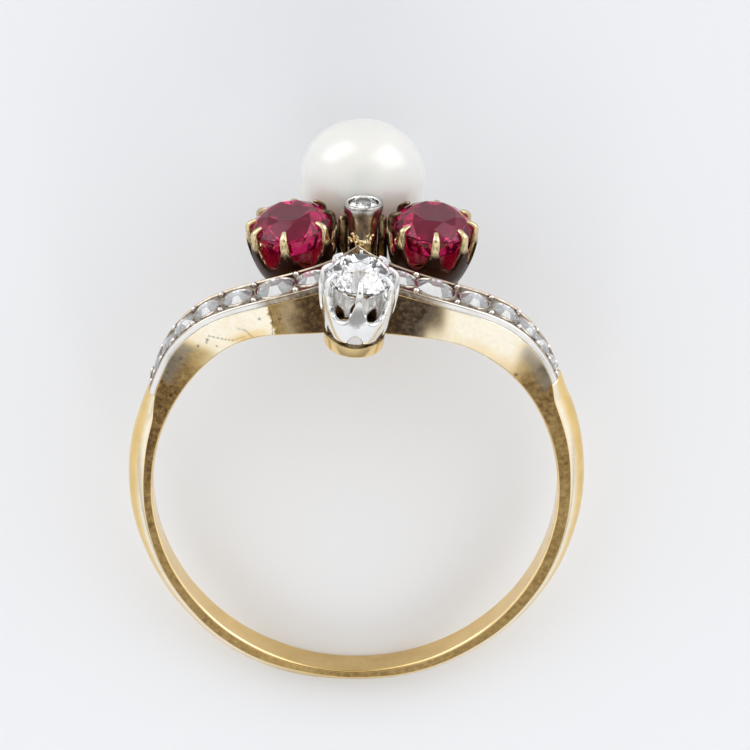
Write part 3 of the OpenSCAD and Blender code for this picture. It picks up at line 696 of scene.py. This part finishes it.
def cup_wall(r_top, r_claw, girdle, bowl, low, slot, arch, below, thick, claws):
    """Wall of a coronet, as sections round its axis.

    Each section runs up outside from the foot to the edge of a window, and back down inside.
    The windows are U shaped, and near the top the wall narrows in behind the claws. The foot
    may go on below its own height, or be cut up into an arch under each claw, with a rounded
    petal under each window.
    """
    wall = 0.28
    claw_half = 0.52 * thick
    angles = np.array([c[0] for c in claws], float)
    gaps = np.diff(np.append(angles, angles[0] + 360))
    middles = angles + gaps / 2
    turn = np.linspace(0, 360, 720, endpoint=False)
    off = (turn[:, None] - middles[None, :] + 180) % 360 - 180
    k = np.abs(off).argmin(1)
    s = np.radians(np.abs(off[np.arange(len(turn)), k])) * r_claw
    half_low = slot * gaps[k] * len(claws) / 720
    half_high = r_claw * np.sin(np.radians(gaps[k] / 2)) - claw_half
    bottom = low + half_low - np.sqrt(np.clip(half_low ** 2 - s ** 2, 0, None))
    side = low + half_low + (s - half_low) / (half_high - half_low) * (girdle - low - half_low)
    from_claw = np.radians(gaps[k] / 2) * r_claw - s
    # Behind a claw the wall has its full height, which falls off on both sides of it
    shoulder = girdle - 0.02 - 0.6 * np.clip(from_claw / claw_half, 0, 1.6)
    top = np.minimum(np.where(s < half_low, bottom, side), shoulder)
    foot_gap = np.abs((turn[:, None] - angles[None, :] + 180) % 360 - 180).min(1)
    foot_s = np.radians(foot_gap) * cup_radius(0, r_top, girdle, bowl)
    foot_half = 0.31
    petal = np.abs(off[np.arange(len(turn)), k]) / (gaps[k] / 2)
    foot = arch * (np.sqrt(np.clip(1 - (foot_s / foot_half) ** 2, 0, 1)) + 0.6 * petal ** 2) - below
    # Heights z, and distances n out from the wall's middle, with a half circle at each edge
    cap = wall / 2
    z, n = [], []
    straight = np.linspace(0, 1, wall_cols)
    for share in straight:
        z.append(foot + cap + (top - foot - 2 * cap) * share)
        n.append(cap + 0 * foot)
    for j in range(1, wall_cols - 1):
        z.append(top - cap + cap * sin(pi * j / (wall_cols - 1)))
        n.append(cap * cos(pi * j / (wall_cols - 1)) + 0 * foot)
    for share in straight:
        z.append(top - cap + (foot - top + 2 * cap) * share)
        n.append(-cap + 0 * foot)
    for j in range(1, wall_cols - 1):
        z.append(foot + cap - cap * sin(pi * j / (wall_cols - 1)))
        n.append(-cap * cos(pi * j / (wall_cols - 1)) + 0 * foot)
    z, n = np.stack(z, 1), np.stack(n, 1)
    thinner = 0.07 * np.clip(n / cap, 0, 1) * fade(z, girdle - 0.6, girdle - 0.05)
    r = cup_radius(z, r_top, girdle, bowl) - cap + n - thinner
    b = np.radians(turn)[:, None]
    return np.stack([r * np.cos(b), r * np.sin(b), z], -1)


def claw_tips(r_claw, girdle, bowl, thick, tip, over, claws, square):
    """Claws: each a bar up the wall, bent in over the stone, with a tapered end.

    Its middle line is a smooth curve through four points, its width and thickness shrink
    towards the tip, and its section is a circle squared by the power given. Gives one grid
    for each claw.
    """
    t = np.linspace(0, 1, 34)
    knots = [0, 0.45, 0.62, 1]
    grids = []
    for angle, lift, _ in claws:
        z_knots = [0.5 * girdle, girdle - 0.16, girdle + 0.08, girdle + lift]
        r_knots = [cup_radius(0.5 * girdle, r_claw, girdle, bowl), r_claw, r_claw - 0.03, r_claw - over]
        table = np.stack([knots, r_knots, z_knots], 1)
        r = through(table, 1, t)
        z = through(table, 2, t)
        dr, dz = np.gradient(r, t), np.gradient(z, t)
        size = np.hypot(dr, dz)
        out_r, out_z = dz / size, -dr / size
        body = thick / 2 * (0.85 + 0.15 * fade(t, 0, 0.3)) * (1 - (1 - tip / thick) * fade(t, 0.3, 1))
        tip_round = np.sqrt(np.clip(1 - np.clip((t - 0.88) / 0.12, 0, 1) ** 2, 0, 1))
        body = body * (tip_round * np.sqrt(np.clip(t / 0.06, 0, 1)))
        b = np.linspace(0, 2 * pi, 20, endpoint=False)[None, :]
        side = body[:, None] * np.sign(np.cos(b)) * np.abs(np.cos(b)) ** square
        deep = 0.8 * body[:, None] * np.sign(np.sin(b)) * np.abs(np.sin(b)) ** square
        rr = r[:, None] + deep * out_r[:, None]
        zz = z[:, None] + deep * out_z[:, None]
        c, s = cos(radians(angle)), sin(radians(angle))
        grids.append(np.stack([rr * c - side * s, rr * s + side * c, zz], -1))
    return grids


plate_top = 8.15  # the gallery's top, and a seam over it


def coronet(
    name, stone_d, girdle, bowl, claws, place, material, node, *,
    thick, tip, over, square, low, slot, arch, below, clean_from, soot_and_shade, dim, lit,
):
    """Setting with claws. Its place is its foot and its lean, and its sizes are in mm.

    The claws are thick low down and as wide as tip at the end, and reach over the stone. Their
    section is squared by a power. Windows start at the height low, with a bottom as wide as
    slot. The foot is cut up by an arch, or goes on below and is cut level over the plate.
    Outside, the foot is darkened up to the height clean_from, partly by tarnish and partly by
    painted shade, and dim darkens the inside. lit is 1 where the inside is matt and painted red,
    as painted light for the light that comes through the stone.
    """
    r_claw = stone_d / 2 + 0.08
    r_top = r_claw + thick / 2
    wall = cup_wall(r_top, r_claw, girdle, bowl, low, slot, arch, below, thick, claws)
    inside, lit_inside = np.zeros(wall.shape[:2]), np.zeros(wall.shape[:2])
    inside[:, wall_cols + 3:3 * wall_cols] = 1
    lit_inside[:, 2 * wall_cols - 3:3 * wall_cols - 2] = lit
    grids = [stand(wall, *place)]
    grids[0][..., 2] = np.maximum(grids[0][..., 2], min(plate_top, grids[0][..., 2].min() + below))
    # Painted shade low inside the cup, well below the windows
    shade_low_inside = 0.5 * fade(low - 0.8 - wall[..., 2], -0.1, 0.3)
    foot_soot_and_shade = soot_and_shade * fade(clean_from - wall[..., 2], -0.2, 0.25) * (1 - inside)
    marks = {
        "tarnish": [np.maximum(foot_soot_and_shade, np.maximum(dim, shade_low_inside) * inside)],
        "matt": [lit_inside],
    }
    # Each claw is darkened by its listed painted shade, or by the foot's darkening lower down
    for bar, (_, _, worn) in zip(claw_tips(r_claw, girdle, bowl, thick, tip, over, claws, square), claws):
        grids.append(stand(bar, *place))
        marks["tarnish"].append(np.maximum(worn, soot_and_shade * fade(clean_from - bar[..., 2], -0.2, 0.25)))
        marks["matt"].append(np.zeros(bar.shape[:2]))
    closes = [(True, True)] + [(False, True)] * len(claws)
    return make(name, [(g, *c) for g, c in zip(grids, closes)], material, [node], marks)


big_foot = (-0.13, -1.97, 7.4)
big_lean = (10, 4)
ring_h, ring_r, ring_wall = 0.5, 1.26, 0.32
foot_up = turned(*big_lean) @ np.array([0, 0, ring_h + seam]) + np.array(big_foot)
big_claws = [
    # angle, height of the tip over the girdle, painted shade
    (-148, 0.36, 0), (-89, 0.38, 0), (-30, 0.36, 0), (5, 0.36, 0),
    (48, 0.36, 0), (90, 0.36, 0), (132, 0.36, 0), (175, 0.36, 0),
]
big_h = 3.37 - ring_h - seam
coronet(
    "big_setting", 2.9, big_h, 3.95, big_claws, (foot_up, big_lean), silver, "big_diamond_claws",
    thick=0.34, tip=0.14, over=0.35, square=0.6, low=1.3, slot=0.66, arch=0.38, below=0.0,
    clean_from=0.05, soot_and_shade=0.4, dim=0.12, lit=0,
)


def lathe(profile, steps=160):
    """Solid of revolution: a closed profile of [radius, height] carried round the axis."""
    p = np.array(profile, float)
    b = np.linspace(0, 2 * pi, steps, endpoint=False)[:, None]
    return np.stack([p[:, 0] * np.cos(b), p[:, 0] * np.sin(b), np.broadcast_to(p[:, 1], (steps, len(p)))], -1)


def rounded(corners, r, steps=5):
    """Closed outline with each corner rounded: an arc of radius r, less where its sides are short."""
    pts = np.array(corners, float)
    out = []
    for i in range(len(pts)):
        before, here, after = pts[i - 1], pts[i], pts[(i + 1) % len(pts)]
        u, v = before - here, after - here
        cut = min(r, 0.45 * np.linalg.norm(u), 0.45 * np.linalg.norm(v))
        p, q = here + u / np.linalg.norm(u) * cut, here + v / np.linalg.norm(v) * cut
        t = np.linspace(0, 1, steps)[:, None]
        out.append((1 - t) ** 2 * p + 2 * t * (1 - t) * here + t * t * q)
    return np.concatenate(out)


base_profile = rounded([
    [ring_r - ring_wall, 0], [ring_r, 0], [ring_r, ring_h], [ring_r - ring_wall, ring_h],
], 0.06)
base = lathe(base_profile)
base[..., :2] *= (1 + 0.006 * np.sin(3 * np.arctan2(base[..., 1], base[..., 0])))[..., None]
top_dark = 0.9 * fade(base[..., 2], ring_h - 0.08, ring_h)
hole_dark = 0.6 * (np.hypot(base[..., 0], base[..., 1]) < ring_r - 0.2)
make(
    "base_ring", [(stand(base, big_foot, big_lean), True, True)], gold, ["big_diamond_base_ring"],
    {"tarnish": [np.maximum(top_dark, hole_dark)], "pale_and_highlight": [np.full(base.shape[:2], 0.15)]},
)

# Rubies: two round stones of deep pink red in pale gold coronets, set to lean outward. The
# coronets' feet are brown, partly with tarnish and partly with painted shade, and inside they are
# painted dull red: painted light, for the light that comes through the stones.

pale_gold = metal(
    "pale_gold", (0.8, 0.66, 0.4), (0.62, 0.47, 0.25), (0.035, 0.014, 0.01), 0.13, 0.15,
    # The matt mark is painted red here: painted light for the light that comes through the rubies
    stains=(("matt", (0.62, 0.012, 0.1)),),
)
ruby_h = 2.4
ruby_rows = {
    # side: girdle's place, lean to the right, claws as (angle, tip height, painted shade)
    "left": ((-2.88, 3.19, 10.55), -8, [
        (-149, 0.24, 0), (-99, 0.24, 0), (-36, 0.24, 0.1), (6, 0.24, 0.9),
        (40, 0.42, 0.55), (85, 0.24, 0.3), (137, 0.24, 0.3), (178, 0.24, 0.1)]),
    "right": ((3.15, 3.19, 10.6), 5, [
        (-137, 0.24, 0.35), (-86, 0.24, 0), (-42, 0.24, 0), (-3, 0.24, 0.1),
        (36, 0.24, 0.3), (86, 0.24, 0.3), (141, 0.4, 0.9), (176, 0.24, 0.9)]),
}
ruby_ior = 1.76
ruby = gem("ruby", (0.58, 0.018, 0.12), ruby_ior, 0.02, clear=0.91, sheen=(0.4, 0.3, 0.36))
for side, (girdle_at, lean_side, claws) in ruby_rows.items():
    lean = (4, lean_side)
    foot = np.array(girdle_at) - turned(*lean) @ np.array([0, 0, ruby_h])
    coronet(
        f"ruby_setting_{side}", 3.4, ruby_h, 3.4, claws, (foot, lean), pale_gold,
        f"ruby_claws_{side}",
        thick=0.38, tip=0.2, over=0.4, square=0.75, low=1.02, slot=0.75, arch=0.0, below=0.2,
        clean_from=1.85, soot_and_shade=1.6, dim=0.05, lit=1,
    )
    finish_node(f"ruby_{side}", ruby)

# Small diamond's setting: a flared silver cup on a stem, rubbed over the stone's edge and
# browned lower down.

collet_at = (0.19, 3.25, 0)
collet_top, collet_foot, collet_r = 11.52, 8.22, 0.84
centre_d = 1.3  # diameter of its stone
collet_profile = rounded([
    [0.26, collet_foot], [0.52, collet_foot], [0.62, collet_top - 1.2], [0.7, collet_top - 0.8],
    [collet_r - 0.03, collet_top - 0.42], [collet_r, collet_top - 0.12], [collet_r - 0.06, collet_top],
    [centre_d / 2 - 0.03, collet_top - 0.03], [centre_d / 2 + 0.02, collet_top - 0.14],
    [centre_d / 2 + 0.02, collet_top - 0.2], [0.26, collet_top - 0.78],
], 0.1)
collet = lathe(collet_profile)
knock = np.arctan2(collet[..., 1], collet[..., 0])
collet[..., :2] *= (
    1 + 0.012 * np.sin(2 * knock + 1) + 0.006 * np.sin(5 * knock + 9 * collet[..., 2])
)[..., None]
below_rim, out_from = collet_top - collet[..., 2], np.hypot(collet[..., 0], collet[..., 1])
outer = (below_rim > 0.8) | (out_from > 0.72 - 0.72 * below_rim)
streaks = (0.42 + 0.35 * np.sin(7 * knock + 4 * collet[..., 2])) * fade(below_rim, 0.1, 0.35)
dark_rim = 0.75 * fade(out_from, 0.68, 0.74) * (1 - fade(below_rim, 0.12, 0.2))
make(
    "small_setting", [(collet + np.array(collet_at), True, True)], silver, ["centre_collet"],
    {"tarnish": [outer * (streaks + dark_rim)], "brown_and_shade": [0.85 * outer * fade(below_rim, 0.16, 0.31)]},
)

# Pearl: a button pearl, drilled half through and set on the gallery's peg. It is a little
# square, with a soft silky shine.

pearl_at = (0.12, 6.72, 10.9)
pearl_r, pearl_power = 2.65, 2.3
peg_r, peg_top = 0.4, 0.3  # the peg ends above the pearl's middle
bore = peg_r + seam
t = np.radians(np.linspace(-90, 90, 150))
skin_r = pearl_r * np.abs(np.cos(t)) ** (2 / pearl_power)
skin_z = pearl_r * np.sign(t) * np.abs(np.sin(t)) ** (2 / pearl_power)
kept = skin_r > bore
first = int(np.argmax(kept))
profile = [[0, peg_top + seam], [bore, peg_top + seam], [bore, skin_z[first]]]
profile += [[r, z] for r, z in zip(skin_r[first:], skin_z[first:])]
ball = lathe(profile, 320)
turn_b = np.arctan2(ball[..., 1], ball[..., 0])
wave = (
    0.006 * np.sin(2 * turn_b + 0.6) + 0.004 * np.sin(3 * turn_b + 2.1 * ball[..., 2])
    + 0.003 * np.sin(5 * ball[..., 2] + turn_b)
)
ball[..., :2] *= (1 + wave * (np.hypot(ball[..., 0], ball[..., 1]) > bore + 0.01))[..., None]


def pearl_finish():
    """Nacre: cream with faint clouds, light that soaks in, and a blurred shine under a clear coat."""
    material, tree = empty_material("nacre")
    mm = in_mm(tree)
    clouds = spread(tree, noise(tree, mm, 0.32, 3.0), 0.35, 0.65)
    grain = noise(tree, mm, 7.0, 5.0)
    body = blend(tree, clouds, (0.92, 0.935, 0.89, 1), (0.92, 0.9, 0.85, 1))
    dents = put(tree, "Bump", {"Height": grain, "Strength": 0.06, "Distance": 0.00002})
    cover(tree, {
        "Base Color": body, "Roughness": 0.3, "Specular IOR Level": 0.75,
        "Coat Weight": 0.8, "Coat Roughness": 0.2, "Sheen Weight": 0.15,
        "Subsurface Weight": 0.8, "Subsurface Scale": 0.0025, "Subsurface Radius": (1.0, 0.75, 0.6),
        "Normal": dents.outputs["Normal"],
    })
    return material


make("pearl_ball", [(ball + np.array(pearl_at), True, False)], pearl_finish(), ["pearl"])

# Gallery: a gold plate behind the band, soldered under the ruby settings and the small
# cup, with the pearl's cup and peg. Solder stands in lumps behind the band's point.

# Dark brown gold, partly tarnish and partly painted shade for the deep shadow under the head
sooted_shaded_gold = metal("sooted_shaded_gold", (0.36, 0.2, 0.09), (0.2, 0.11, 0.05), (0.05, 0.03, 0.018), 0.2, 0.12)
finish_node("gallery", sooted_shaded_gold)
lumps = [
    # x, y, z, radius
    (-0.3, 2.72, 9.95, 0.1), (-0.16, 2.74, 10.12, 0.12), (0.0, 2.76, 10.02, 0.13), (0.14, 2.78, 10.18, 0.11),
    (0.3, 2.78, 10.12, 0.13), (0.42, 2.76, 10.24, 0.08), (0.5, 2.74, 10.05, 0.11), (-0.08, 2.7, 9.88, 0.13),
    (0.12, 2.72, 9.86, 0.14), (0.3, 2.72, 9.9, 0.13), (-0.24, 2.74, 10.24, 0.07), (0.04, 2.78, 10.26, 0.08),
    (0.24, 2.8, 10.3, 0.07), (0.58, 2.76, 10.16, 0.07), (-0.4, 2.72, 10.05, 0.07), (0.42, 2.72, 9.88, 0.1),
]


def lump(x, y, z, r, turn_by):
    """Ball of solder with a few waves in its skin."""
    b = np.linspace(0, 2 * pi, 24, endpoint=False)[:, None]
    t = np.linspace(0, pi, 14)[None, :]
    size = r * (1 + 0.25 * np.sin(3 * b + turn_by) * np.sin(t) + 0.18 * np.cos(4 * t + 2 * turn_by))
    return np.stack([
        x + size * np.sin(t) * np.cos(b), y + size * np.sin(t) * np.sin(b), z + size * np.cos(t) + 0 * b,
    ], -1)


solder_grids = [(lump(*row, i), True, False) for i, row in enumerate(lumps)]
make("solder", solder_grids, pale_gold)

# Bars between the small cup and the ruby settings: tapered posts of pale gold, one on each
# side, soldered on the gallery. They are dark, partly with old tarnish and partly with painted
# shade, filling the shaded gap between these parts.

bar_foot = 8.0  # a little below the gallery's top
bars = [
    # x, y, radius at the foot and at the top, height of the top
    (-0.67, 3.3, 0.32, 0.19, 10.85), (1.0, 3.3, 0.3, 0.17, 10.9),
]
bar_grids, bar_tarnish_and_shade = [], []
for x, y, low, high, top in bars:
    # A taper with a half ball on its top
    s, cap = np.linspace(0, 1, 24), np.linspace(0, pi / 2, 9)[1:]
    bar_r = np.concatenate([[0], low + (high - low) * s ** 0.6, high * np.cos(cap)])
    bar_z = np.concatenate([
        [bar_foot], bar_foot + (top - high - bar_foot) * s, top - high + high * np.sin(cap),
    ])
    bar = lathe(np.stack([bar_r, bar_z], 1), 64)
    round_bar = np.arctan2(bar[..., 1], bar[..., 0])
    bar[..., :2] *= (1 + 0.06 * np.sin(3 * round_bar + 2 * bar[..., 2]))[..., None]
    bar_grids.append((bar + np.array((x, y, 0)), True, False))
    # Mostly dark, in stripes: old tarnish and painted shade
    bar_tarnish_and_shade.append(np.clip(0.85 + 0.4 * np.sin(5 * bar[..., 2] + 2 * round_bar), 0, 1))
make("inner_bars", bar_grids, pale_gold, marks={"tarnish": bar_tarnish_and_shade})

# Studio: a pale table top, a bright soft tent that is open and darker low at the front, and
# soft lamps: one behind the ring on each side, and one in front for the dull surfaces only.

table_size = 1.2
table = bpy.data.meshes.new("table_top")
h = table_size / 2
table.from_pydata([(-h, -h, 0), (h, -h, 0), (h, h, 0), (-h, h, 0)], [], [(0, 1, 2, 3)])
table_top = bpy.data.objects.new("table_top", table)
bpy.context.scene.collection.objects.link(table_top)
board, board_tree = empty_material("pale_board")
board_noise = noise(board_tree, in_mm(board_tree), 0.05, 3.0)
board_colour = blend(board_tree, board_noise, (0.845, 0.86, 0.89, 1), (0.865, 0.88, 0.91, 1))
cover(board_tree, {"Base Color": board_colour, "Roughness": 0.85})
table.materials.append(board)

sky = bpy.data.worlds.new("tent")
bpy.context.scene.world = sky
sky.use_nodes = True
sky_tree = sky.node_tree
ray = put(sky_tree, "SeparateXYZ", {"Vector": put(sky_tree, "TexCoord").outputs["Generated"]}).outputs
# Dark low at the front, and grey overhead where the tent is open for the view
lift = calc(sky_tree, "ADD", ray["Z"], calc(sky_tree, "MULTIPLY", ray["Y"], 0.7))
sides = spread(sky_tree, lift, -0.45, -0.05, 0.35, 1.0)
hole = spread(sky_tree, ray["Z"], cos(radians(24)), cos(radians(9)), 1.0, 0.12)
tent = sky_tree.nodes["Background"]
sky_tree.links.new(calc(sky_tree, "MULTIPLY", sides, hole), tent.inputs["Color"])
tent.inputs["Strength"].default_value = 1.0


def lamp(name, direction, distance, size, brightness, in_shine):
    """Soft square lamp that faces the ring from a direction, as a sheet of light of some brightness.

    It is seen in shiny surfaces only, or else it only lights the dull ones.
    """
    light = bpy.data.lights.new(name, "AREA")
    light.shape = "SQUARE"
    light.size = size
    light.energy = brightness * pi * size * size
    thing = bpy.data.objects.new(name, light)
    d = np.array(direction, float)
    d /= np.linalg.norm(d)
    side = np.cross([0, 0, 1.0], d)
    side /= np.linalg.norm(side)
    above = np.cross(d, side)
    rows = [(side[i], above[i], d[i], d[i] * distance) for i in range(3)]
    thing.matrix_world = Matrix([*rows, (0, 0, 0, 1)])
    thing.visible_diffuse = not in_shine
    thing.visible_glossy = in_shine
    bpy.context.scene.collection.objects.link(thing)


lamp("left_lamp", (-0.6, 0.78, 0.16), 0.5, 0.46, 2.0, True)
lamp("right_lamp", (0.68, 0.6, 0.4), 0.5, 0.44, 2.0, True)
lamp("front_lamp", (0.1, -0.93, 0.34), 0.5, 0.3, 3.6, False)

# Camera: straight above the lying ring and 35 cm away, so that it sees the head from the
# front and a little above, with the ring's full width in view.

picture = 750
origin_px = (356.3, 399.5)  # where the frame's zero falls in the picture
px_per_mm = 23.6
focus_z = 0.004  # height at which that scale holds
height = 0.354
camera_data = bpy.data.cameras.new("camera")
camera = bpy.data.objects.new("camera", camera_data)
field = picture / px_per_mm * MM
sensor = 36
camera_data.sensor_width = sensor
camera_data.lens = sensor * (height - focus_z) / field
camera_data.clip_start = 0.01
roll = radians(0.8)
dx = (picture / 2 - origin_px[0]) / px_per_mm * MM
dy = (origin_px[1] - picture / 2) / px_per_mm * MM
camera.location = (dx * cos(roll) - dy * sin(roll), dx * sin(roll) + dy * cos(roll), height)
camera.rotation_euler = (0, 0, roll)
bpy.context.scene.collection.objects.link(camera)
bpy.context.scene.camera = camera
bpy.context.scene.view_settings.view_transform = "Standard"
